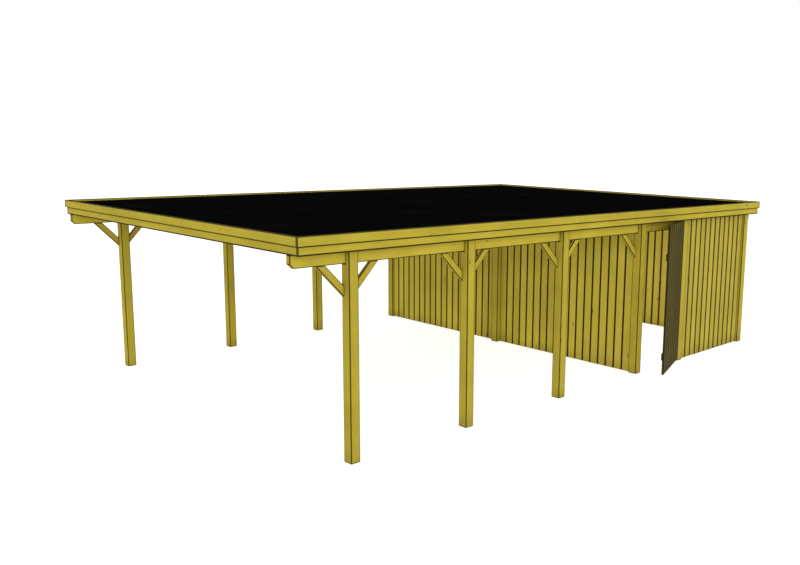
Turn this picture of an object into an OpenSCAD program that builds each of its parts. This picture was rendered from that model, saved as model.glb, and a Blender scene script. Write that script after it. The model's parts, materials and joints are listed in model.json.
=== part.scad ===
// Double timber carport with a boarded store across its rear end.
// Two rows of notched posts carry a purlin each, rafters lie across the purlins,
// and the flat roof falls towards the rear behind a stepped fascia.
//
// +X is the side with the store door, +Y runs to the rear, +Z is up.
// The origin is on the ground, on the centre line, in the plane of the store's
// front row of posts. It lies on the foot of the middle post.

/* [Overall] */
// Width over the outer faces of both post rows
row_w = 5240; // [4200:10:6300]
// Spacing of the posts along each open row
bay = 1687; // [1400:1:2030]
// Depth of the store, from its front posts' front faces to its rear faces
store_len = 2916; // [2400:2:3500]
// Height of the purlin's underside at the front posts
purlin_clear = 2088; // [1800:1:2500]
// Fall of the roof to the rear, per unit of length
roof_fall = 0.0233; // [0:0.0001:0.04]

/* [Roof edge] */
// Fascia face beyond the front posts
front_over = 687; // [580:1:830]
// Fascia face beyond the rear posts
rear_over = 149; // [125:1:300]
// Fascia face beyond the outer faces of the post rows
side_over = 100; // [90:1:300]
// Thickness of each fascia board
fascia_t = 20; // [16:1:24]
// Height of the inner fascia board
fascia_inner_h = 192; // [170:1:230]
// Height of the outer fascia board
fascia_outer_h = 100; // [80:1:120]
// Height of the fascia's top above the roof covering
upstand = 24; // [20:1:30]

/* [Posts and beams] */
// Side of the square posts
post_w = 120; // [100:1:145]
// Thickness of the purlins, which is the depth of the posts' notches
purlin_t = 60; // [50:1:72]
// Height of the purlins
purlin_h = 160; // [134:1:192]
// Chamfer at the lower corner of each purlin end
purlin_chamfer = 45; // [37:1:54]
// Thickness of the rafters
rafter_t = 60; // [50:1:72]
// Height of the rafters
rafter_h = 120; // [100:1:144]
// Number of rafters
rafter_count = 13; // [11:1:15]
// Projection of the front wall's middle post past the front row of posts
middle_proud = 40; // [33:1:48]
// Clearance where one timber bears on another along the roof's fall
seat_gap = 0.2; // [0.1:0.1:0.5]

/* [Braces] */
// Thickness of the knee braces
brace_t = 40; // [34:1:48]
// Depth of the knee braces, square to their length
brace_d = 82; // [68:1:98]
// Drop of the brace's lower edge below the purlin, at the post
brace_drop = 343; // [286:1:412]

/* [Roof covering] */
// Thickness of the roof boards
deck_t = 19; // [16:1:24]
// Thickness of the roof membrane
membrane_t = 3; // [2:0.5:5]

/* [Store walls] */
// Thickness of the wall boards
board_t = 28; // [23:1:30]
// Clearance between the wall boards and the ground
board_foot_gap = 5; // [4:1:20]
// Clearance between the wall boards and the rafters
board_head_gap = 5; // [4:1:20]
// Height of the head rails behind the front and rear boards
head_rail_h = 120; // [100:1:150]

/* [Door] */
// Clear width of the doorway
door_opening_w = 940; // [780:1:1130]
// Running gap between the door and the posts on each side
door_gap = 8; // [7:1:12]
// Clearance between the door's top and the line of the fascia's lower edge
door_head_gap = 10; // [8:1:20]
// Clearance between the door and the ground
door_foot_gap = 20; // [17:1:40]
// Angle at which the door stands open
door_open = 20.5; // [0:0.5:110]
// Width of the ledges and of the brace on the door's inner face
ledge_w = 95; // [80:1:114]
// Thickness of the ledges and of the brace
ledge_t = 25; // [20:1:26]
// Distance from the ledge ends to the door's edges
ledge_inset = 45; // [38:1:60]
// Height of the lower ledge's underside above the door's bottom edge
ledge_low_z = 190; // [160:1:230]
// Height of the upper ledge's underside above the door's bottom edge
ledge_high_z = 1580; // [1320:1:1680]
// Share of the door's inner width over which its brace runs
brace_reach = 0.84; // [0.7:0.01:0.9]

/* [Hinges] */
// Length of each hinge
hinge_len = 100; // [84:1:120]
// Outer radius of the hinge knuckles
knuckle_r = 6.5; // [5.5:0.1:7.2]
// Radius of the hinge pins
pin_r = 3; // [2.5:0.1:3.4]
// Running clearance around the pins in the door's knuckles, and between the knuckles
pin_gap = 0.4; // [0.3:0.1:0.6]
// Clearance around the pins in the frame's knuckles, which hold them
pin_seat = 0.1; // [0.05:0.05:0.2]
// Thickness of the hinge plates
plate_t = 2.5; // [2:0.1:2.8]
// Reach of the hinge plates over the door's edge
plate_reach = 24; // [20:1:26]
// Distance of the hinge axis in front of the door's outer face
axis_out = 9; // [8:0.5:11]
// Height of the lowest hinge's lower end above the door's bottom edge
hinge_low_z = 140; // [117:1:170]
// Height of the highest hinge's lower end above the door's bottom edge
hinge_high_z = 1800; // [1500:1:1880]

/* [Hidden] */
$fn = 48;

timber = [0.70, 0.63, 0.24];
timber_dark = [0.60, 0.53, 0.20];
covering = [0.05, 0.05, 0.05];
zinc = [0.62, 0.63, 0.65];

// Bays of the open part, in front of the store
open_bays = 3;
// Hinges on the door
hinge_count = 3;
// Length past a face that cutting shapes run
cut_over = 1;

// Along the building: front faces of the first posts, of the rear posts, of the post that
// carries the door's hinges, and of post i in a row
first_post_y = -open_bays * bay;
rear_post_y = store_len - post_w;
jamb_y = post_w + door_opening_w;
function row_post_y(i) = first_post_y + i * bay;

// Across the building: left faces of the posts in the right row and in the left row,
// which is a copy of the right one and not its mirror image
right_row_x = row_w / 2 - post_w;
left_row_x = -row_w / 2;

// The roof's frame, inside the fascia
frame_left_x = -row_w / 2 - side_over + 2 * fascia_t;
frame_right_x = row_w / 2 + side_over - 2 * fascia_t;
frame_front_y = first_post_y - front_over + 2 * fascia_t;
frame_rear_y = store_len + rear_over - 2 * fascia_t;

// Levels of the roof, measured up from the purlins' sloping underside
rafter_lo = purlin_h + seat_gap;
rafter_hi = rafter_lo + rafter_h;
deck_lo = rafter_hi + seat_gap;
deck_hi = deck_lo + deck_t;
membrane_hi = deck_hi + membrane_t;
fascia_hi = membrane_hi + upstand;
fascia_inner_lo = fascia_hi - fascia_inner_h;
fascia_outer_lo = fascia_hi - fascia_outer_h;

// Wall boards are nailed to the purlins' and rails' outer faces, behind the posts' faces
board_recess = post_w - purlin_t - board_t;
front_board_y = board_recess;
rear_board_y = store_len - board_recess - board_t;
head_rail_lo = purlin_h - head_rail_h;

// The door, drawn closed and then turned about its hinge axis
door_y0 = post_w + door_gap;
door_y1 = jamb_y - door_gap;
door_out_x = row_w / 2;
door_inner_x = door_out_x - board_t;
axis_x = door_out_x + axis_out;
axis_y = jamb_y - door_gap / 2;
knuckle_len = (hinge_len - 2 * pin_gap) / 3;

// Height of the purlins' underside at y
function purlin_z(y) = purlin_clear - roof_fall * (y - first_post_y);

// Extrudes an outline drawn in Y and Z along X, from x0 to x1
module along_x(x0, x1) {
    translate([x0, 0, 0])
        rotate([90, 0, 90])
            linear_extrude(height = x1 - x0)
                children();
}

// A member that follows the roof's fall, between two levels above the purlins' underside
module sloped(x0, x1, y0, y1, lo, hi) {
    along_x(x0, x1)
        polygon([[y0, purlin_z(y0) + lo], [y1, purlin_z(y1) + lo],
                 [y1, purlin_z(y1) + hi], [y0, purlin_z(y0) + hi]]);
}

// An upright with a level foot and a top cut to the roof's fall
module upright(x0, x1, y0, y1, foot, top) {
    along_x(x0, x1)
        polygon([[y0, foot], [y1, foot], [y1, purlin_z(y1) + top], [y0, purlin_z(y0) + top]]);
}

// A row post: its left part ends under the purlin and its right part runs up beside it
module notched_post(x, y) {
    color(timber)
        union() {
            upright(x, x + purlin_t, y, y + post_w, 0, -seat_gap);
            upright(x + purlin_t, x + post_w, y, y + post_w, 0, purlin_h);
        }
}

// A post of the middle line, up to the rafters
module middle_post(y) {
    color(timber)
        upright(-post_w / 2, post_w / 2, y, y + post_w, 0, purlin_h);
}

// A purlin. Its ends run on under the inner fascia boards, as far as their outer faces
module purlin(x) {
    y0 = frame_front_y - fascia_t;
    y1 = frame_rear_y + fascia_t;
    c = purlin_chamfer;
    color(timber)
        difference() {
            along_x(x, x + purlin_t)
                polygon([[y0, purlin_z(y0) + c], [y0 + c, purlin_z(y0 + c)],
                         [y1 - c, purlin_z(y1 - c)], [y1, purlin_z(y1) + c],
                         [y1, purlin_z(y1) + purlin_h], [y0, purlin_z(y0) + purlin_h]]);
            purlin_rebate(x, y0 - cut_over, frame_front_y);
            purlin_rebate(x, frame_rear_y, y1 + cut_over);
        }
}

// Room for a fascia board's lower edge, cut from the top of a purlin's end
module purlin_rebate(x, y0, y1) {
    sloped(x - cut_over, x + purlin_t + cut_over, y0, y1,
           fascia_inner_lo - seat_gap, purlin_h + cut_over);
}

// Run of a 45 degree edge from a post's face up to the purlin, for a given drop.
// side is 1 for a brace behind the post and -1 for one in front of it.
function brace_run(drop, side) = drop / (1 + side * roof_fall);

// A knee brace from the post face at y up to the purlin
module brace(x, y, side) {
    cut = brace_d * sqrt(2);
    low_y = y + side * brace_run(brace_drop - seat_gap, side);
    high_y = y + side * brace_run(brace_drop - seat_gap - cut, side);
    along_x(x, x + brace_t)
        polygon([[y, purlin_z(y) - brace_drop],
                 [low_y, purlin_z(low_y) - seat_gap],
                 [high_y, purlin_z(high_y) - seat_gap],
                 [y, purlin_z(y) - brace_drop + cut]]);
}

// The braces of one row: in front of every post, and behind all but the last,
// where the store begins
module row_braces(x) {
    color(timber_dark) {
        for (i = [0 : open_bays]) brace(x, row_post_y(i), -1);
        for (i = [0 : open_bays - 1]) brace(x, row_post_y(i) + post_w, 1);
    }
}

module rafters() {
    pitch = (frame_rear_y - frame_front_y - rafter_t) / (rafter_count - 1);
    color(timber)
        for (i = [0 : rafter_count - 1])
            sloped(frame_left_x, frame_right_x, frame_front_y + i * pitch,
                   frame_front_y + i * pitch + rafter_t, rafter_lo, rafter_hi);
}

module roof_deck() {
    color(timber)
        sloped(frame_left_x, frame_right_x, frame_front_y, frame_rear_y, deck_lo, deck_hi);
}

module roof_membrane() {
    color(covering)
        sloped(frame_left_x, frame_right_x, frame_front_y, frame_rear_y, deck_hi, membrane_hi);
}

// Fascia board across the building, with its front face at y
module cross_fascia(y, ends, lo) {
    color(timber)
        sloped(frame_left_x - ends, frame_right_x + ends, y, y + fascia_t, lo, fascia_hi);
}

// Fascia board along the building, with its left face at x
module side_fascia(x, ends, lo) {
    color(timber)
        sloped(x, x + fascia_t, frame_front_y - ends, frame_rear_y + ends, lo, fascia_hi);
}

// Two head rails, from the row posts to the middle post
module head_rails(y) {
    color(timber) {
        sloped(left_row_x + post_w, -post_w / 2, y, y + purlin_t, head_rail_lo, purlin_h);
        sloped(post_w / 2, right_row_x, y, y + purlin_t, head_rail_lo, purlin_h);
    }
}

// A panel of vertical boards
module board_panel(x0, x1, y0, y1) {
    color(timber)
        upright(x0, x1, y0, y1, board_foot_gap, purlin_h - board_head_gap);
}

// Turns the closed door about its hinge axis to where it stands
module as_opened() {
    translate([axis_x, axis_y, 0])
        rotate([0, 0, door_open])
            translate([-axis_x, -axis_y, 0])
                children();
}

module door_leaf() {
    color(timber_dark)
        as_opened()
            upright(door_inner_x, door_out_x, door_y0, door_y1, door_foot_gap,
                    fascia_inner_lo - door_head_gap);
}

module door_ledges() {
    color(timber_dark)
        as_opened()
            for (z = [ledge_low_z, ledge_high_z])
                translate([door_inner_x - ledge_t, door_y0 + ledge_inset, door_foot_gap + z])
                    cube([ledge_t, door_y1 - door_y0 - 2 * ledge_inset, ledge_w]);
}

// The brace rises from the hinge side to the closing side, between the ledges
module door_brace() {
    z0 = door_foot_gap + ledge_low_z + ledge_w;
    z1 = door_foot_gap + ledge_high_z;
    span = (door_y1 - door_y0 - 2 * ledge_inset) * brace_reach;
    mid_y = (door_y0 + door_y1) / 2;
    run = span - ledge_w;
    foot_w = ledge_w * sqrt(1 + pow(run / (z1 - z0), 2));
    color(timber_dark)
        as_opened()
            along_x(door_inner_x - ledge_t, door_inner_x)
                polygon([[mid_y + span / 2 - foot_w, z0], [mid_y + span / 2, z0],
                         [mid_y - span / 2 + foot_w, z1], [mid_y - span / 2, z1]]);
}

// Lower end of hinge i above the ground
function hinge_z(i) = door_foot_gap + hinge_low_z
    + i * (hinge_high_z - hinge_low_z) / (hinge_count - 1);

// A knuckle bored to clear the pin by gap, on a plate that starts at y
module knuckle_on_plate(z, y, gap) {
    difference() {
        union() {
            translate([axis_x, axis_y, z])
                cylinder(r = knuckle_r, h = knuckle_len);
            translate([door_out_x - plate_reach, y, z])
                cube([plate_reach + axis_out, plate_t, knuckle_len]);
        }
        translate([axis_x, axis_y, z - cut_over])
            cylinder(r = pin_r + gap, h = knuckle_len + 2 * cut_over);
    }
}

module door_hinge_plates() {
    color(zinc)
        as_opened()
            for (i = [0 : hinge_count - 1])
                knuckle_on_plate(hinge_z(i) + knuckle_len + pin_gap, door_y1, pin_gap);
}

module frame_hinge_plates() {
    color(zinc)
        for (i = [0 : hinge_count - 1])
            for (step = [0, 2])
                knuckle_on_plate(hinge_z(i) + step * (knuckle_len + pin_gap),
                                 jamb_y - plate_t, pin_seat);
}

module hinge_pins() {
    color(zinc)
        for (i = [0 : hinge_count - 1])
            translate([axis_x, axis_y, hinge_z(i)])
                cylinder(r = pin_r, h = hinge_len);
}

notched_post(right_row_x, row_post_y(0));  // post_right_1
notched_post(right_row_x, row_post_y(1));  // post_right_2
notched_post(right_row_x, row_post_y(2));  // post_right_3
notched_post(right_row_x, row_post_y(3));  // post_right_4
notched_post(left_row_x, row_post_y(0));  // post_left_1
notched_post(left_row_x, row_post_y(1));  // post_left_2
notched_post(left_row_x, row_post_y(2));  // post_left_3
notched_post(left_row_x, row_post_y(3));  // post_left_4
notched_post(right_row_x, jamb_y);  // door_jamb_post
notched_post(right_row_x, rear_post_y);  // rear_post_right
notched_post(left_row_x, rear_post_y);  // rear_post_left
middle_post(-middle_proud);  // middle_post_front
middle_post(rear_post_y);  // middle_post_rear
purlin(right_row_x);  // purlin_right
purlin(left_row_x);  // purlin_left
row_braces(right_row_x);  // braces_right
row_braces(left_row_x);  // braces_left
rafters();
roof_deck();
roof_membrane();
cross_fascia(frame_front_y - fascia_t, 0, fascia_inner_lo);  // fascia_front_inner
cross_fascia(frame_front_y - 2 * fascia_t, fascia_t, fascia_outer_lo);  // fascia_front_outer
cross_fascia(frame_rear_y, 0, fascia_inner_lo);  // fascia_rear_inner
cross_fascia(frame_rear_y + fascia_t, fascia_t, fascia_outer_lo);  // fascia_rear_outer
side_fascia(frame_right_x, fascia_t, fascia_inner_lo);  // fascia_right_inner
side_fascia(frame_right_x + fascia_t, 2 * fascia_t, fascia_outer_lo);  // fascia_right_outer
side_fascia(frame_left_x - fascia_t, fascia_t, fascia_inner_lo);  // fascia_left_inner
side_fascia(frame_left_x - 2 * fascia_t, 2 * fascia_t, fascia_outer_lo);  // fascia_left_outer
head_rails(front_board_y + board_t);  // head_rails_front
head_rails(rear_board_y - purlin_t);  // head_rails_rear
board_panel(left_row_x + post_w, -post_w / 2, front_board_y, front_board_y + board_t);  // front_wall_left
board_panel(post_w / 2, right_row_x, front_board_y, front_board_y + board_t);  // front_wall_right
board_panel(left_row_x + post_w, -post_w / 2, rear_board_y, rear_board_y + board_t);  // rear_wall_left
board_panel(post_w / 2, right_row_x, rear_board_y, rear_board_y + board_t);  // rear_wall_right
board_panel(left_row_x + purlin_t, left_row_x + purlin_t + board_t, post_w, rear_post_y);  // left_wall
board_panel(right_row_x + purlin_t, right_row_x + purlin_t + board_t,  // right_wall
                jamb_y + post_w, rear_post_y);
door_leaf();
door_ledges();
door_brace();
door_hinge_plates();
frame_hinge_plates();
hinge_pins();
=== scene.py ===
"""Looks of the timber carport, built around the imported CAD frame.

Every timber becomes a piece with eased arrises and its own grain. The store's walls,
the door and the roof deck become separate tongue-and-groove boards.
"""

import json
import math
import random

import bmesh
import bpy
from mathutils import Matrix, Vector


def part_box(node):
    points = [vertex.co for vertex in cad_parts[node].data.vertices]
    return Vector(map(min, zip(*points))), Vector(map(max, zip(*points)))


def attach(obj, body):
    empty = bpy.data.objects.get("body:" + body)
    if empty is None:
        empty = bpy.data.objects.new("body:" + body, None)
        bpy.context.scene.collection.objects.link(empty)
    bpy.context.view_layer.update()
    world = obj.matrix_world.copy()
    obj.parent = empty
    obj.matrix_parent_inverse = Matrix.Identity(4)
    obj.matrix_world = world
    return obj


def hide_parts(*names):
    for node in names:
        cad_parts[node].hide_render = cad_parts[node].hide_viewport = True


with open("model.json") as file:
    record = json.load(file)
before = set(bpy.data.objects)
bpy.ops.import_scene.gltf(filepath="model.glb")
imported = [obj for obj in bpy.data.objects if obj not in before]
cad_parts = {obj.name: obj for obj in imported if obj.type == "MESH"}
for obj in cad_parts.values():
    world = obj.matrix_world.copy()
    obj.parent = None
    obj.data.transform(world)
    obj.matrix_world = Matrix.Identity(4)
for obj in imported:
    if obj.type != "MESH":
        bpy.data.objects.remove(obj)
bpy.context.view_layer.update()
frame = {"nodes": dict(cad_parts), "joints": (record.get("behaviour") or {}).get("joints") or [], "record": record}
rng = random.Random(7)

# All lengths are in metres

# Edges of timbers and boards, the dirt beside them, and painted shade below the outer fascia boards
ARRIS = 0.006             # easing of the edges of posts and beams
SMALL_ARRIS = 0.005       # and of fascia boards and the door's back timbers
GRIME = 0.007             # width over which the dark of an edge fades into a face
SMALL_GRIME = 0.006       # the same on fascia boards and the door's back timbers
BOARD_GRIME = 0.009       # and on the boards under the roof
OPEN_GRIME = 0.014        # and on the boards that stand out in the weather
STEP_SHADOW = 0.005        # painted shade below the outer fascia board's lower edge
DRIP_GRIME = 0.013        # dirt above the inner fascia board's lower edge
STEP_FADE = 0.006         # width over which both fade

# Tongue-and-groove boards
COVER = 0.134             # visible width of a wall or deck board, before it is fitted
JOINT = 0.006             # open joint between two boards' edges
CHAMFER_SHARE = 0.25      # chamfer on a board's edges, as a share of its thickness
TONGUE = 0.006            # thickness of a board's tongue
TONGUE_REACH = 0.010      # reach of the tongue past the board's edge
GROOVE_DEPTH = 0.008      # depth of the groove that takes it
GROOVE_SLACK = 0.001      # play of the tongue in the groove
DEPTH_SLIP = 0.0006       # how far a board's face and foot stand off their panel's
DECK_SPLITS = (0.58, 0.42)            # end joints of even and odd deck boards, as shares

# Grain: every timber is cut from another place of one long log
LOG_LENGTH = 40
PITH_REACH = 0.11         # farthest that the pith lies from a timber's middle

# Fixings
SCREW_R = 0.0045          # radius of a screw head
SCREW_RISE = 0.0008       # rise of its dome above the wood
SCREW_SIDES = 10
SCREW_RINGS = ((1.0, -0.5), (1.0, 0.3), (0.7, 1.0), (0.25, 0.4))  # radius, rise, as shares
WALL_SCREW_DROPS = (0.045, 0.115)     # heights of the screws below a wall's top
WALL_SCREW_SHARES = (0.25, 0.75)      # and their places across a board, as shares
DOOR_SCREW_SHARES = (0.3, 0.7)
LEDGE_INSET = 0.045       # from a door ledge's outer edge to the screws in it
INNER_SHOWS = 0.092       # height of the inner fascia boards below the outer ones
ROW_SCREWS = 10           # screws in each of the front and rear fascia boards
ROW_INSET = 0.03          # from the rafters' ends to the first and last of them

# Roof covering
SHEET_PITCH = 1.0         # distance from one lap to the next
LAP = 0.08                # width of a lap
LAP_RISE = 0.0025         # thickness of the sheet that lies on the one below
LAP_EASE = 0.8            # share of the lap that lies flat on the sheet below

# How dark the eased arrises, the board joints and the roof edge's top are, from 0 to 1
ARRIS_SHADE = 0.95
JOINT_SHADE = 1.0
TOP_SHADE = 0.85

# Limits within which geometry counts as the same, or is told apart
SLACK = 1e-4              # how near two heights or places count as the same
WELD = 1e-5               # how near two vertices are merged
FLAT = math.radians(0.4)  # a CAD face may bend this far and stay one face
SHARP = math.radians(25)  # an edge that bends further than this is eased
LOOKS_UP = 0.9            # least upward part of the normal of a face that looks up
END_GRAIN = 0.6           # least part along the grain of the normal of end grain

# Outward directions
UP = Vector((0, 0, 1))
SIDES = {
    "right": Vector((1, 0, 0)),
    "left": Vector((-1, 0, 0)),
    "front": Vector((0, -1, 0)),
    "rear": Vector((0, 1, 0)),
}
WALLS = {
    "front_wall_left": SIDES["front"],
    "front_wall_right": SIDES["front"],
    "rear_wall_left": SIDES["rear"],
    "rear_wall_right": SIDES["rear"],
    "left_wall": SIDES["left"],
    "right_wall": SIDES["right"],
}
INNER_FASCIAS = {f"fascia_{side}_inner": side for side in SIDES}

# Other groups of CAD nodes
DOOR_TIMBERS = ("door_ledges", "door_brace")
BEAM_STARTS = ("purlin", "rafters", "head_rails")     # how the names of the beams begin
HINGES = ("door_hinge_plates", "frame_hinge_plates", "hinge_pins")
NOT_SAWN = {*WALLS, *HINGES, "roof_deck", "roof_membrane", "door_leaf"}

# Sockets of a Mix node that mixes colours
MIX_A = 6
MIX_B = 7
MIX_RESULT = 2


# ---------------------------------------------------------------- shader helpers

def new_material(name):
    """An empty node material, with its tree and its Principled shader."""
    material = bpy.data.materials.new(name)
    material.use_nodes = True
    return material, material.node_tree, material.node_tree.nodes["Principled BSDF"]


def feed(tree, value, socket):
    """Links a socket to an input, or sets the input to a plain value."""
    if isinstance(value, bpy.types.NodeSocket):
        tree.links.new(value, socket)
    else:
        socket.default_value = value


def attribute(tree, name, output="Fac"):
    """A layer that mark_timbers or the shading of the edges wrote on the mesh."""
    node = tree.nodes.new("ShaderNodeAttribute")
    node.attribute_name = name
    return node.outputs[output]


def object_place(tree):
    """The place of a point in metres, in the building's frame."""
    return tree.nodes.new("ShaderNodeTexCoord").outputs["Object"]


def maths(tree, operation, a, b=0.0, c=None):
    """A Math node. c is the addend of MULTIPLY_ADD."""
    node = tree.nodes.new("ShaderNodeMath")
    node.operation = operation
    feed(tree, a, node.inputs[0])
    feed(tree, b, node.inputs[1])
    if c is not None:
        feed(tree, c, node.inputs[2])
    return node.outputs[0]


def scaled(tree, vector, factors):
    """A vector times a factor for each axis."""
    node = tree.nodes.new("ShaderNodeVectorMath")
    node.operation = "MULTIPLY"
    feed(tree, vector, node.inputs[0])
    feed(tree, factors, node.inputs[1])
    return node.outputs[0]


def noise(tree, vector, scale=1.0, detail=2.0):
    """Smooth noise from 0 to 1."""
    node = tree.nodes.new("ShaderNodeTexNoise")
    feed(tree, vector, node.inputs["Vector"])
    node.inputs["Scale"].default_value = scale
    node.inputs["Detail"].default_value = detail
    return node.outputs["Fac"]


def ramp(tree, value, low, high, out_low=0.0, out_high=1.0):
    """Maps low..high smoothly to out_low..out_high."""
    node = tree.nodes.new("ShaderNodeMapRange")
    node.interpolation_type = "SMOOTHSTEP"
    feed(tree, value, node.inputs["Value"])
    node.inputs["From Min"].default_value = low
    node.inputs["From Max"].default_value = high
    node.inputs["To Min"].default_value = out_low
    node.inputs["To Max"].default_value = out_high
    return node.outputs["Result"]


def mixed(tree, factor, a, b, blend="MIX"):
    """A colour from a at factor 0 to b at factor 1."""
    node = tree.nodes.new("ShaderNodeMix")
    node.data_type = "RGBA"
    node.blend_type = blend
    feed(tree, factor, node.inputs["Factor"])
    feed(tree, a, node.inputs[MIX_A])
    feed(tree, b, node.inputs[MIX_B])
    return node.outputs[MIX_RESULT]


def grey(tree, value):
    """A grey colour from a number."""
    node = tree.nodes.new("ShaderNodeCombineColor")
    for channel in ("Red", "Green", "Blue"):
        feed(tree, value, node.inputs[channel])
    return node.outputs[0]


def bump(tree, shader, height, distance, strength):
    """Relief of the surface, distance deep at most."""
    node = tree.nodes.new("ShaderNodeBump")
    node.inputs["Strength"].default_value = strength
    node.inputs["Distance"].default_value = distance
    feed(tree, height, node.inputs["Height"])
    feed(tree, node.outputs["Normal"], shader.inputs["Normal"])


# ---------------------------------------------------------------- materials

def rings(tree, grain):
    """Growth rings round a pith beside the piece, 0 in early wood and 1 in late wood."""
    ring_pitch = 0.0055
    wander = noise(tree, scaled(tree, grain, (1.1, 9.0, 9.0)))
    node = tree.nodes.new("ShaderNodeVectorMath")
    node.operation = "LENGTH"
    feed(tree, scaled(tree, grain, (0.0, 1.0, 1.0)), node.inputs[0])
    radius = maths(tree, "MULTIPLY_ADD", wander, 0.045, node.outputs["Value"])
    wave = maths(tree, "SINE", maths(tree, "MULTIPLY", radius, math.tau / ring_pitch))
    return ramp(tree, wave, -0.2, 1.0)


def knots(tree, grain):
    """Sparse knots, drawn out a little along the grain."""
    cells = tree.nodes.new("ShaderNodeTexVoronoi")
    cells.inputs["Scale"].default_value = 1.0
    feed(tree, scaled(tree, grain, (2.7, 6.5, 6.5)), cells.inputs["Vector"])
    spot = ramp(tree, cells.outputs["Distance"], 0.06, 0.12, 1.0, 0.0)
    pick = tree.nodes.new("ShaderNodeSeparateColor")
    feed(tree, cells.outputs["Color"], pick.inputs[0])
    some = ramp(tree, pick.outputs["Red"], 0.45, 0.5)
    return maths(tree, "MULTIPLY", spot, some)


def grain_colour(tree, grain, ring, fibre, light, deep):
    """Clean wood, from light early wood to deep late wood, with warm patches."""
    warm_shares = (0.98, 0.85, 0.85)
    warm_brown = tuple(c * share for c, share in zip(light, warm_shares)) + (1,)
    streak = noise(tree, scaled(tree, grain, (0.9, 16.0, 16.0)), detail=3.0)
    warm = noise(tree, scaled(tree, grain, (11.0, 24.0, 24.0)))
    colour = mixed(tree, maths(tree, "MULTIPLY", ring, 0.30), light, deep)
    colour = mixed(tree, ramp(tree, fibre, 0.42, 0.72, 0.0, 0.30), colour, deep)
    colour = mixed(tree, ramp(tree, streak, 0.40, 0.75, 0.0, 0.45), colour, deep)
    return mixed(tree, ramp(tree, warm, 0.42, 0.64, 0.0, 0.60), colour, warm_brown)


def marked_colour(tree, grain, blotch, colour, tone_swing):
    """Wood with each timber's own tone, and with its knots and end grain."""
    knot_brown = (0.16, 0.085, 0.018, 1)
    end_brown = (0.20, 0.15, 0.030, 1)
    cloudy = ramp(tree, blotch, 0.3, 0.7, 0.93, 1.05)
    swing = maths(tree, "MULTIPLY_ADD", attribute(tree, "tone"), tone_swing, cloudy)
    colour = mixed(tree, 1.0, colour, grey(tree, swing), "MULTIPLY")
    colour = mixed(tree, maths(tree, "MULTIPLY", knots(tree, grain), 0.75), colour, knot_brown)
    ends = maths(tree, "MULTIPLY", attribute(tree, "end"), 0.35)
    return mixed(tree, ends, colour, end_brown)


def dirty_and_shaded_colour(tree, place, blotch, colour):
    """Wood with a damp foot whose upper edge is ragged, and darkened where the shade layer says: the dirt of its
    edges and joints, and painted shade below the outer fascia boards.
    """
    grime_and_shade_brown = (0.022, 0.014, 0.004, 1)
    height = tree.nodes.new("ShaderNodeSeparateXYZ")
    feed(tree, place, height.inputs[0])
    ragged = maths(tree, "MULTIPLY_ADD", blotch, 0.25, height.outputs["Z"])
    damp = ramp(tree, ragged, 0.08, 0.33, 0.30, 0.0)
    colour = mixed(tree, damp, colour, grime_and_shade_brown)
    return mixed(tree, attribute(tree, "shade"), colour, grime_and_shade_brown)


def wood(name, light, deep, tone_swing):
    """Pressure-treated softwood with rings, fibre, knots, end grain and damp feet."""
    material, tree, shader = new_material(name)
    grain = attribute(tree, "grain", "Vector")
    place = object_place(tree)
    ring = rings(tree, grain)
    fibre = noise(tree, scaled(tree, grain, (7.0, 330.0, 330.0)))
    blotch = noise(tree, place, scale=2.3, detail=3.0)
    colour = grain_colour(tree, grain, ring, fibre, light, deep)
    colour = marked_colour(tree, grain, blotch, colour, tone_swing)
    feed(tree, dirty_and_shaded_colour(tree, place, blotch, colour), shader.inputs["Base Color"])
    feed(tree, ramp(tree, fibre, 0.3, 0.7, 0.62, 0.82), shader.inputs["Roughness"])
    shader.inputs["Specular IOR Level"].default_value = 0.04
    relief = maths(tree, "MULTIPLY_ADD", ring, 0.4, fibre)
    bump(tree, shader, relief, 0.0006, 0.6)
    return material


def roofing(name):
    """Black roofing sheet with a fine mineral grain and faint water marks."""
    fines, stones = (0.0010, 0.0010, 0.0010, 1), (0.0030, 0.0030, 0.0029, 1)
    dried, lap_edge = (0.0042, 0.0042, 0.0040, 1), (0.014, 0.014, 0.013, 1)
    material, tree, shader = new_material(name)
    place = object_place(tree)
    mineral = noise(tree, place, scale=420.0)
    marks = noise(tree, place, scale=0.9, detail=4.0)
    colour = mixed(tree, mineral, fines, stones)
    colour = mixed(tree, ramp(tree, marks, 0.52, 0.7, 0.0, 0.5), colour, dried)
    colour = mixed(tree, attribute(tree, "shade"), colour, lap_edge)
    feed(tree, colour, shader.inputs["Base Color"])
    feed(tree, ramp(tree, marks, 0.3, 0.7, 0.85, 0.97), shader.inputs["Roughness"])
    shader.inputs["Specular IOR Level"].default_value = 0.0
    bump(tree, shader, mineral, 0.0008, 0.5)
    return material


def zinc(name, tint):
    """Galvanised steel with a cloudy spangle and dull patches."""
    material, tree, shader = new_material(name)
    place = object_place(tree)
    spangle = tree.nodes.new("ShaderNodeTexVoronoi")
    spangle.inputs["Scale"].default_value = 260.0
    feed(tree, place, spangle.inputs["Vector"])
    cloud = noise(tree, place, scale=60.0, detail=3.0)
    dull = tuple(0.55 * c for c in tint[:3]) + (1,)
    colour = mixed(tree, ramp(tree, cloud, 0.45, 0.75, 0.0, 0.7), tint, dull)
    feed(tree, colour, shader.inputs["Base Color"])
    shader.inputs["Metallic"].default_value = 0.85
    cloudy = ramp(tree, cloud, 0.3, 0.7, 0.32, 0.5)
    patch = maths(tree, "MULTIPLY_ADD", spangle.outputs["Distance"], 0.25, cloudy)
    feed(tree, patch, shader.inputs["Roughness"])
    bump(tree, shader, cloud, 0.0002, 0.4)
    return material


# ---------------------------------------------------------------- reading the CAD frame

def cad_points(node):
    """A CAD node's vertices."""
    return [vert.co.copy() for vert in frame["nodes"][node].data.vertices]


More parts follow.
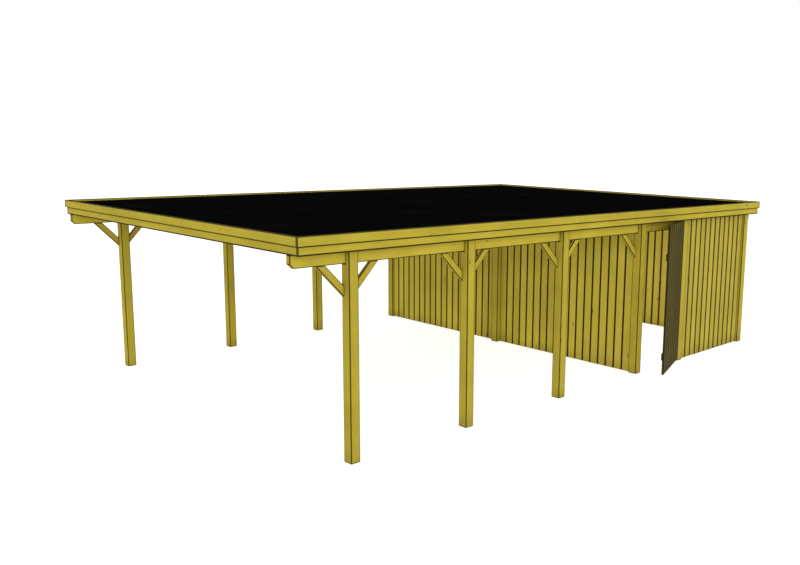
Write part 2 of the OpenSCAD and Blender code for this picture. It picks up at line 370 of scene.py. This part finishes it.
def cad_mesh(node):
    """A clean copy of a CAD node's mesh: welded, with flat faces whole."""
    bm = bmesh.new()
    bm.from_mesh(frame["nodes"][node].data)
    bmesh.ops.remove_doubles(bm, verts=bm.verts, dist=WELD)
    bmesh.ops.dissolve_limit(bm, angle_limit=FLAT, verts=bm.verts, edges=bm.edges)
    return bm


def turned_box(node, turn):
    """Lowest and highest corners of a CAD node's vertices, turned by a matrix first."""
    points = [turn @ point for point in cad_points(node)]
    low = Vector([min(point[i] for point in points) for i in range(3)])
    high = Vector([max(point[i] for point in points) for i in range(3)])
    return low, high


def end_heights(node, y):
    """Lowest and highest points of a CAD node at one of its ends."""
    heights = [point.z for point in cad_points(node) if abs(point.y - y) < SLACK]
    return min(heights), max(heights)


def roof_fall():
    """Fall of the roof per metre, read from the deck's two ends."""
    low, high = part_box("roof_deck")
    front = end_heights("roof_deck", low.y)[1]
    rear = end_heights("roof_deck", high.y)[1]
    return (front - rear) / (high.y - low.y)


def fascia_edges(side, layer, fall, y=None):
    """Heights of a fascia board's lower and upper edges at y, or at its front end."""
    low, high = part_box(f"fascia_{side}_{layer}")
    back = 0.0 if y is None else y - low.y
    return low.z + fall * (high.y - low.y) - fall * back, high.z - fall * back


def door_turns():
    """Matrices that close the door from where it stands and open it again."""
    joint = frame["joints"][0]
    pivot = Vector(joint["pos_m"])
    axis = Vector(joint["axis"])
    swing = Matrix.Rotation(math.radians(joint["range_deg"][0]), 4, axis)
    close = Matrix.Translation(pivot) @ swing @ Matrix.Translation(-pivot)
    return close, close.inverted()


# ---------------------------------------------------------------- mesh helpers

def shade_layer(bm):
    """The layer that says how dark each vertex is: grime on edges and joints, and painted shade below the outer
    fascia boards.
    """
    layers = bm.verts.layers.float
    return layers.get("shade") or layers.new("shade")


def islands(bm):
    """The separate timbers of a mesh, each as a list of vertices."""
    left = set(bm.verts)
    found = []
    for start in bm.verts:
        if start not in left:
            continue
        group = [start]
        left.discard(start)
        for vert in group:
            for edge in vert.link_edges:
                other = edge.other_vert(vert)
                if other in left:
                    left.discard(other)
                    group.append(other)
        found.append(group)
    return found


def along_of(group):
    """Direction of a timber's longest edge, which is the way its grain runs."""
    edges = {edge for vert in group for edge in vert.link_edges}
    longest = max(edges, key=lambda edge: round(edge.calc_length(), 4))
    direction = longest.verts[1].co - longest.verts[0].co
    direction.normalize()
    return direction if direction.dot(Vector((1, 1, 1))) > 0 else -direction


def mark_timbers(bm):
    """Writes the grain, tone and end grain that the wood materials read."""
    grain = bm.verts.layers.float_vector.new("grain")
    tone = bm.faces.layers.float.new("tone")
    end = bm.faces.layers.float.new("end")
    for group in islands(bm):
        along = along_of(group)
        side = min((SIDES["right"], SIDES["rear"], UP), key=lambda a: abs(a.dot(along)))
        across = (side - along * side.dot(along)).normalized()
        third = along.cross(across)
        centre = sum((vert.co for vert in group), Vector()) / len(group)
        turn = rng.uniform(0, math.tau)
        reach = rng.uniform(0.3, 1.0) * PITH_REACH
        cut_at = rng.uniform(0, LOG_LENGTH)
        shift = Vector((cut_at, reach * math.cos(turn), reach * math.sin(turn)))
        group_tone = rng.uniform(-1, 1)
        for vert in group:
            local = vert.co - centre
            vert[grain] = shift + Vector((local.dot(along), local.dot(across), local.dot(third)))
        for face in {face for vert in group for face in vert.link_faces}:
            face[tone] = group_tone
            face[end] = 1.0 if abs(face.normal.dot(along)) > END_GRAIN else 0.0


def ease(bm, width, fade):
    """Rounds the sharp edges and darkens them, fading into the faces beside them."""
    shade = shade_layer(bm)
    sharp = [edge for edge in bm.edges if edge.calc_face_angle(0) > SHARP]
    made = bmesh.ops.bevel(bm, geom=sharp, offset=width, offset_type="OFFSET",
                           segments=2, profile=0.5, affect="EDGES", clamp_overlap=True)
    rounded = set(made["faces"])
    flats = [face for face in bm.faces if face not in rounded]
    bmesh.ops.inset_individual(bm, faces=flats, thickness=fade, use_even_offset=True)
    for vert in bm.verts:
        vert[shade] = ARRIS_SHADE
    for face in flats:
        for vert in face.verts:
            vert[shade] = 0.0


def darken_tops(bm, dark):
    """Darkens the faces that look up."""
    shade = shade_layer(bm)
    for face in bm.faces:
        if face.normal.z > LOOKS_UP:
            for vert in face.verts:
                vert[shade] = max(vert[shade], dark)


def darken_face(bm, outward, level, fall, band, fade):
    """Darkens a band of a board's outer face, given by its heights from an edge on the fall.

    level is a point on that edge. The dark fades out towards the height fade.
    """
    shade = shade_layer(bm)
    middle = sum((vert.co for vert in bm.verts), Vector()) / len(bm.verts)
    slope = Vector((0, fall, 1))
    for height in (fade, *band):
        bmesh.ops.bisect_plane(bm, geom=bm.verts[:] + bm.edges[:] + bm.faces[:],
                               plane_co=level + UP * height, plane_no=slope)
    for vert in bm.verts:
        height = (vert.co - level).dot(slope)
        in_band = band[0] - SLACK < height < band[1] + SLACK
        if in_band and (vert.co - middle).dot(outward) > 0:
            vert[shade] = JOINT_SHADE


def prism(bm, outline, low_end, high_end):
    """Joins the two ends of an outline, whose points are across, depth and shade."""
    shade = shade_layer(bm)
    ends = []
    for place in (low_end, high_end):
        ends.append([bm.verts.new(place(across, depth)) for across, depth, dark in outline])
        for vert, point in zip(ends[-1], outline):
            vert[shade] = point[2]
    lows, highs = ends
    for i in range(len(outline)):
        j = (i + 1) % len(outline)
        bm.faces.new((lows[i], lows[j], highs[j], highs[i]))
    bm.faces.new(lows[::-1])
    bm.faces.new(highs)


def add_piece(name, bm, material, body, nodes=()):
    """Makes the mesh an object that rides on a body and stands for CAD nodes."""
    mesh = bpy.data.meshes.new(name)
    bmesh.ops.recalc_face_normals(bm, faces=bm.faces)
    bm.to_mesh(mesh)
    bm.free()
    mesh.materials.append(material)
    piece = bpy.data.objects.new(name, mesh)
    bpy.context.scene.collection.objects.link(piece)
    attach(piece, body)
    if nodes:
        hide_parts(*nodes)


# ---------------------------------------------------------------- sawn timbers

def timber_piece(node, material, body, width=ARRIS, fade=GRIME, top_shade=0.0):
    """A CAD timber with eased arrises and grain."""
    bm = cad_mesh(node)
    ease(bm, width, fade)
    mark_timbers(bm)
    darken_tops(bm, top_shade)
    add_piece(node + "_timber", bm, material, body, [node])


def inner_fascia_piece(node, side, material, fall):
    """An inner fascia board, with painted shade below the outer board, and dark along its own drip edge."""
    bm = cad_mesh(node)
    ease(bm, SMALL_ARRIS, SMALL_GRIME)
    # The outer band is painted shade below the outer board's lower edge; the inner band darkens the board's own
    # drip edge
    bands = {
        "outer": ((-STEP_SHADOW, 0.0), -STEP_SHADOW - STEP_FADE),
        "inner": ((SMALL_ARRIS / 2, DRIP_GRIME), DRIP_GRIME + STEP_FADE),
    }
    for layer, (band, fade) in bands.items():
        front_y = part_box(f"fascia_{side}_{layer}")[0].y
        level = Vector((0, front_y, fascia_edges(side, layer, fall)[0]))
        darken_face(bm, SIDES[side], level, fall, band, fade)
    mark_timbers(bm)
    darken_tops(bm, TOP_SHADE)
    add_piece(node + "_timber", bm, material, "structure", [node])


def build_timbers(post_wood, lit_beam_wood, edge_wood, shaded_door_wood, fall):
    """Posts, braces, beams, rails, fascia and the door's back timbers."""
    for body, names in frame["record"]["behaviour"]["bodies"].items():
        for node in names:
            if node in NOT_SAWN:
                continue
            if node in INNER_FASCIAS:
                inner_fascia_piece(node, INNER_FASCIAS[node], edge_wood, fall)
            elif node.startswith("fascia"):
                timber_piece(node, edge_wood, body, SMALL_ARRIS, SMALL_GRIME, TOP_SHADE)
            elif node in DOOR_TIMBERS:
                timber_piece(node, shaded_door_wood, body, SMALL_ARRIS, SMALL_GRIME)
            elif node.startswith(BEAM_STARTS):
                timber_piece(node, lit_beam_wood, body)
            else:
                timber_piece(node, post_wood, body)


# ---------------------------------------------------------------- boards

def board_outline(width, thick, groove, tongue, grime=BOARD_GRIME):
    """Section of a board, from its left edge round by its face, right edge and back.

    Each point is across, depth below the face, and shade. A board at the end of a panel
    has a plain edge there.
    """
    c = CHAMFER_SHARE * thick
    f = c + grime
    mid = thick / 2
    half = TONGUE / 2
    wide = half + GROOVE_SLACK
    dark = JOINT_SHADE
    outline = [(c, 0, dark), (f, 0, 0), (width - f, 0, 0), (width - c, 0, dark)]
    outline += [(width, c, dark)]
    if tongue:
        outline += [(width, mid - half, dark), (width + TONGUE_REACH, mid - half, dark),
                    (width + TONGUE_REACH, mid + half, dark), (width, mid + half, dark)]
    outline += [(width, thick - c, dark), (width - c, thick, dark), (width - f, thick, 0)]
    outline += [(f, thick, 0), (c, thick, dark), (0, thick - c, dark)]
    if groove:
        outline += [(0, mid + wide, dark), (GROOVE_DEPTH, mid + wide, dark),
                    (GROOVE_DEPTH, mid - wide, dark), (0, mid - wide, dark)]
    return outline + [(0, c, dark)]


def board_starts(length):
    """Places and the width of the boards that cover a length."""
    count = max(1, round(length / COVER))
    pitch = length / count
    return [i * pitch for i in range(count)], pitch


def board_outlines(length, thick, grime=BOARD_GRIME):
    """Start and section of each board of a row that covers a length."""
    starts, pitch = board_starts(length)
    for i, start in enumerate(starts):
        last = i == len(starts) - 1
        width = pitch if last else pitch - JOINT
        yield start, board_outline(width, thick, i > 0, not last, grime)


def panel_start(low, high, outward):
    """Direction across a panel from its left, seen from outside, and its outer left edge."""
    across = UP.cross(outward)
    edge = Vector([high[i] if outward[i] > 0 or across[i] < 0 else low[i] for i in range(3)])
    return across, edge


def upright_board(bm, outline, spot, foot, head):
    """A board on end. spot places a point of its section, head gives the top's height there."""
    def foot_at(u, depth):
        return spot(u, depth) + UP * foot

    def head_at(u, depth):
        point = spot(u, depth)
        return point + UP * head(point)

    prism(bm, outline, foot_at, head_at)


def upright_boards(low, high, outward, fall, grime):
    """Upright tongue-and-groove boards that fill a panel's box, with tops on the fall."""
    bm = bmesh.new()
    size = high - low
    thick = abs(size.dot(outward))
    across, edge = panel_start(low, high, outward)
    edge.z = 0

    def section(start, slip):
        """Places a point of a board whose face is pushed in by slip and whose back stays."""
        squeeze = 1 - slip / thick
        return lambda u, depth: (edge + across * (start + u)
                                 - outward * (depth * squeeze + slip))

    def head(point):
        return high.z - fall * (point.y - low.y)

    for start, outline in board_outlines(abs(size.dot(across)), thick, grime):
        slip = rng.uniform(0, DEPTH_SLIP)
        foot = low.z + rng.uniform(0, DEPTH_SLIP)
        upright_board(bm, outline, section(start, slip), foot, head)
    return bm


def build_walls(weathered, lit_boards, fall):
    """The store's walls. The boards of its front wall stand under the roof and take the lighter board wood,
    painted light that lifts the shade there.
    """
    for node, outward in WALLS.items():
        under_roof = outward == SIDES["front"]
        low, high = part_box(node)
        bm = upright_boards(low, high, outward, fall, BOARD_GRIME if under_roof else OPEN_GRIME)
        mark_timbers(bm)
        material = lit_boards if under_roof else weathered
        add_piece(node + "_boards", bm, material, "structure", [node])


def build_door(material, fall):
    """The door's boards, made closed and turned to where the door stands."""
    close, reopen = door_turns()
    low, high = turned_box("door_leaf", close)
    bm = upright_boards(low, high, SIDES["right"], fall, OPEN_GRIME)
    bm.transform(reopen)
    mark_timbers(bm)
    add_piece("door_leaf_boards", bm, material, "door", ["door_leaf"])


def build_deck(material, fall):
    """Roof boards along the building, faces down, with staggered end joints."""
    low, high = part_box("roof_deck")
    under, over = end_heights("roof_deck", low.y)
    bm = bmesh.new()

    def end_at(start, y):
        level = under - fall * (y - low.y)
        return lambda u, depth: Vector((low.x + start + u, y, level + depth))

    for i, (start, outline) in enumerate(board_outlines(high.x - low.x, over - under)):
        split = low.y + DECK_SPLITS[i % 2] * (high.y - low.y)
        prism(bm, outline, end_at(start, low.y), end_at(start, split - JOINT / 2))
        prism(bm, outline, end_at(start, split + JOINT / 2), end_at(start, high.y))
    mark_timbers(bm)
    add_piece("roof_deck_boards", bm, material, "structure", ["roof_deck"])


# ---------------------------------------------------------------- roof covering

def membrane_profile(low_y, high_y, top):
    """Outline of the sheets along the building: y, height over the deck, and shade.

    Each sheet rises on to the next one's front edge and ends there in a thin pale brow.
    """
    profile = [(low_y, 0, 0.0)]
    edge = low_y
    while edge + SHEET_PITCH < high_y:
        brow = edge + SHEET_PITCH
        profile += [(edge, top, 0.0), (brow - LAP, top, 0.0),
                    (brow - LAP * LAP_EASE, top + LAP_RISE, 0.0),
                    (brow - LAP_RISE * 2, top + LAP_RISE, 0.0),
                    (brow - LAP_RISE / 2, top + LAP_RISE, 1.0)]
        edge = brow
    return profile + [(edge, top, 0.0), (high_y, top, 0.0), (high_y, 0, 0.0)]


def build_membrane(material, fall):
    """Roofing sheets across the building, each lapping over the next one down the fall."""
    low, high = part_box("roof_membrane")
    under, over = end_heights("roof_membrane", low.y)
    bm = bmesh.new()

    def side_at(x):
        return lambda y, level: Vector((x, y, under - fall * (y - low.y) + level))

    prism(bm, membrane_profile(low.y, high.y, over - under), side_at(low.x), side_at(high.x))
    stepped_ends = [face for face in bm.faces if len(face.verts) > 4]
    bmesh.ops.triangulate(bm, faces=stepped_ends)
    add_piece("roof_membrane_sheets", bm, material, "structure",
              ["roof_membrane"])


# ---------------------------------------------------------------- fixings

def build_hinges(material):
    """The hinges keep their CAD meshes and take the galvanised finish."""
    for node in HINGES:
        data = frame["nodes"][node].data
        data.materials.clear()
        data.materials.append(material)


def screw_head(bm, place, outward):
    """A low domed screw head on an upright face."""
    side = outward.cross(UP)
    other = outward.cross(side)
    rims = []
    for radius, rise in SCREW_RINGS:
        rim = []
        for k in range(SCREW_SIDES):
            angle = math.tau * k / SCREW_SIDES
            spoke = side * math.cos(angle) + other * math.sin(angle)
            rim.append(bm.verts.new(place + spoke * SCREW_R * radius
                                    + outward * SCREW_RISE * rise))
        rims.append(rim)
    for inner, outer in zip(rims[1:], rims):
        for k in range(SCREW_SIDES):
            j = (k + 1) % SCREW_SIDES
            bm.faces.new((outer[k], outer[j], inner[j], inner[k]))
    bm.faces.new(rims[0][::-1])
    bm.faces.new(rims[-1])


def wall_screws(bm, low, high, outward, fall):
    """Screws in the head of every board of a panel."""
    across, edge = panel_start(low, high, outward)
    starts, pitch = board_starts(abs((high - low).dot(across)))
    for start in starts:
        for share in WALL_SCREW_SHARES:
            for drop in WALL_SCREW_DROPS:
                place = edge + across * (start + share * pitch)
                place.z = high.z - fall * (place.y - low.y) - drop
                screw_head(bm, place, outward)


def build_wall_screws(material, fall):
    """Screws through the wall boards into the rails, the purlins and the end frames."""
    bm = bmesh.new()
    for node, outward in WALLS.items():
        low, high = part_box(node)
        wall_screws(bm, low, high, outward, fall)
    add_piece("wall_screws", bm, material, "structure")


def build_door_screws(material):
    """Screws through the door's boards into its ledges."""
    close, reopen = door_turns()
    low, high = turned_box("door_leaf", close)
    ledge_low, ledge_high = turned_box("door_ledges", close)
    starts, pitch = board_starts(high.y - low.y)
    bm = bmesh.new()
    for level in (ledge_low.z + LEDGE_INSET, ledge_high.z - LEDGE_INSET):
        for start in starts:
            for share in DOOR_SCREW_SHARES:
                place = Vector((high.x, low.y + start + share * pitch, level))
                screw_head(bm, place, SIDES["right"])
    bm.transform(reopen)
    add_piece("door_screws", bm, material, "door")


def fascia_spots(low, high, outward, middles, row):
    """Places along a fascia board's outer face: middles on the sides, row at the ends."""
    if outward.x:
        x = high.x if outward.x > 0 else low.x
        return [Vector((x, y, 0)) for y in middles]
    y = high.y if outward.y > 0 else low.y
    return [Vector((x, y, 0)) for x in row]


def build_fascia_screws(material, fall):
    """Screws through both fascia boards into the rafters' ends and the end rafters."""
    bm = bmesh.new()
    rafter_low, rafter_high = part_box("rafters")
    faces = sorted({round(point.y, 4) for point in cad_points("rafters")})
    middles = [(front + rear) / 2 for front, rear in zip(faces[::2], faces[1::2])]
    span = rafter_high.x - rafter_low.x - 2 * ROW_INSET
    row = [rafter_low.x + ROW_INSET + i * span / (ROW_SCREWS - 1) for i in range(ROW_SCREWS)]
    for side, outward in SIDES.items():
        for layer in ("outer", "inner"):
            low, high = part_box(f"fascia_{side}_{layer}")
            for place in fascia_spots(low, high, outward, middles, row):
                bottom, top = fascia_edges(side, layer, fall, place.y)
                if layer == "inner":
                    top = bottom + INNER_SHOWS
                place.z = (bottom + top) / 2
                screw_head(bm, place, outward)
    add_piece("fascia_screws", bm, material, "structure")


# ---------------------------------------------------------------- stage

def build_floor():
    """A plain pale floor."""
    half = 60.0
    bm = bmesh.new()
    corners = [(-half, -half), (half, -half), (half, half), (-half, half)]
    bm.faces.new([bm.verts.new((x, y, 0)) for x, y in corners])
    mesh = bpy.data.meshes.new("floor")
    bm.to_mesh(mesh)
    bm.free()
    floor = bpy.data.objects.new("floor", mesh)
    bpy.context.scene.collection.objects.link(floor)
    material, _, shader = new_material("pale_floor")
    shader.inputs["Base Color"].default_value = (0.35, 0.35, 0.35, 1)
    shader.inputs["Roughness"].default_value = 0.9
    shader.inputs["Specular IOR Level"].default_value = 0.1
    shader.inputs["Emission Color"].default_value = (1, 1, 1, 1)
    shader.inputs["Emission Strength"].default_value = 0.85
    mesh.materials.append(material)


def store_lamps():
    """Two soft lamps inside the store, which the room's light hardly reaches."""
    low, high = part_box("rear_wall_left")[0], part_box("front_wall_right")[1]
    for side, x in (("left", low.x / 2), ("right", high.x / 2)):
        lamp = bpy.data.lights.new(f"store_fill_{side}", "POINT")
        lamp.energy = 58.0
        lamp.shadow_soft_size = 0.4
        fill = bpy.data.objects.new(f"store_fill_{side}", lamp)
        fill.location = (x, (low.y + high.y) / 2, high.z / 2)
        fill.visible_camera = False
        bpy.context.scene.collection.objects.link(fill)


def build_light():
    """A white room, and two large soft lamps: low on the door side, and behind the camera."""
    world = bpy.data.worlds.new("room")
    bpy.context.scene.world = world
    world.use_nodes = True
    sky = world.node_tree.nodes["Background"]
    sky.inputs["Color"].default_value = (1, 1, 1, 1)
    sky.inputs["Strength"].default_value = 1.0
    lamps = {"soft_key": (1.05, Vector((1.0, -0.10, 0.20))),
             "soft_fill": (1.10, Vector((0.55, -0.80, 0.20)))}
    for name, (energy, towards) in lamps.items():
        lamp = bpy.data.lights.new(name, "SUN")
        lamp.energy = energy
        lamp.angle = math.radians(35)
        placed = bpy.data.objects.new(name, lamp)
        placed.rotation_euler = towards.to_track_quat("Z", "Y").to_euler()
        bpy.context.scene.collection.objects.link(placed)
    bpy.context.scene.view_settings.view_transform = "Standard"


def build_camera():
    """The camera stands off the front right corner, above roof height."""
    yaw = math.radians(48.274)
    pitch = math.radians(-10.144)
    roll = math.radians(-0.116)
    place = Vector((9.595, -10.607, 3.498))
    camera_data = bpy.data.cameras.new("camera")
    camera_data.sensor_width = 36.0
    camera_data.lens = 41.01
    camera_data.clip_end = 300.0
    camera = bpy.data.objects.new("camera", camera_data)
    bpy.context.scene.collection.objects.link(camera)
    look = (Matrix.Rotation(yaw, 4, "Z") @ Matrix.Rotation(math.pi / 2 + pitch, 4, "X")
            @ Matrix.Rotation(roll, 4, "Z"))
    camera.matrix_world = Matrix.Translation(place) @ look
    bpy.context.scene.camera = camera


build_camera()
build_light()
store_lamps()
build_floor()

# The beams and boards under the roof take lighter copies of the wood: painted light that lifts the shade under the
# roof
post_wood = wood("treated_timber", (0.334, 0.278, 0.028, 1), (0.249, 0.190, 0.018, 1), 0.05)
lit_beam_wood = wood("timber_painted_light", (0.400, 0.335, 0.034, 1), (0.300, 0.229, 0.022, 1), 0.05)
edge_wood = wood("treated_fascia", (0.337, 0.281, 0.028, 1), (0.252, 0.193, 0.018, 1), 0.03)
board_wood = wood("weathered_boards", (0.338, 0.283, 0.038, 1), (0.245, 0.190, 0.023, 1), 0.08)
lit_board_wood = wood("boards_painted_light", (0.415, 0.345, 0.040, 1), (0.302, 0.233, 0.025, 1), 0.08)
# The door and its back timbers take a much darker copy of the wood: painted shade for the dark look of the door's
# face, seen at a grazing angle
shaded_door_wood = wood("door_timber_painted_shade", (0.064, 0.054, 0.0070, 1), (0.042, 0.034, 0.0045, 1), 0.10)
galvanised = zinc("galvanised_steel", (0.20, 0.20, 0.19, 1))
screw_steel = zinc("plated_screws", (0.22, 0.18, 0.08, 1))
roof_sheet = roofing("roofing_sheet")
fall_per_metre = roof_fall()

build_timbers(post_wood, lit_beam_wood, edge_wood, shaded_door_wood, fall_per_metre)
build_walls(board_wood, lit_board_wood, fall_per_metre)
build_door(shaded_door_wood, fall_per_metre)
build_deck(lit_board_wood, fall_per_metre)
build_membrane(roof_sheet, fall_per_metre)
build_hinges(galvanised)
build_wall_screws(screw_steel, fall_per_metre)
build_door_screws(screw_steel)
build_fascia_screws(screw_steel, fall_per_metre)
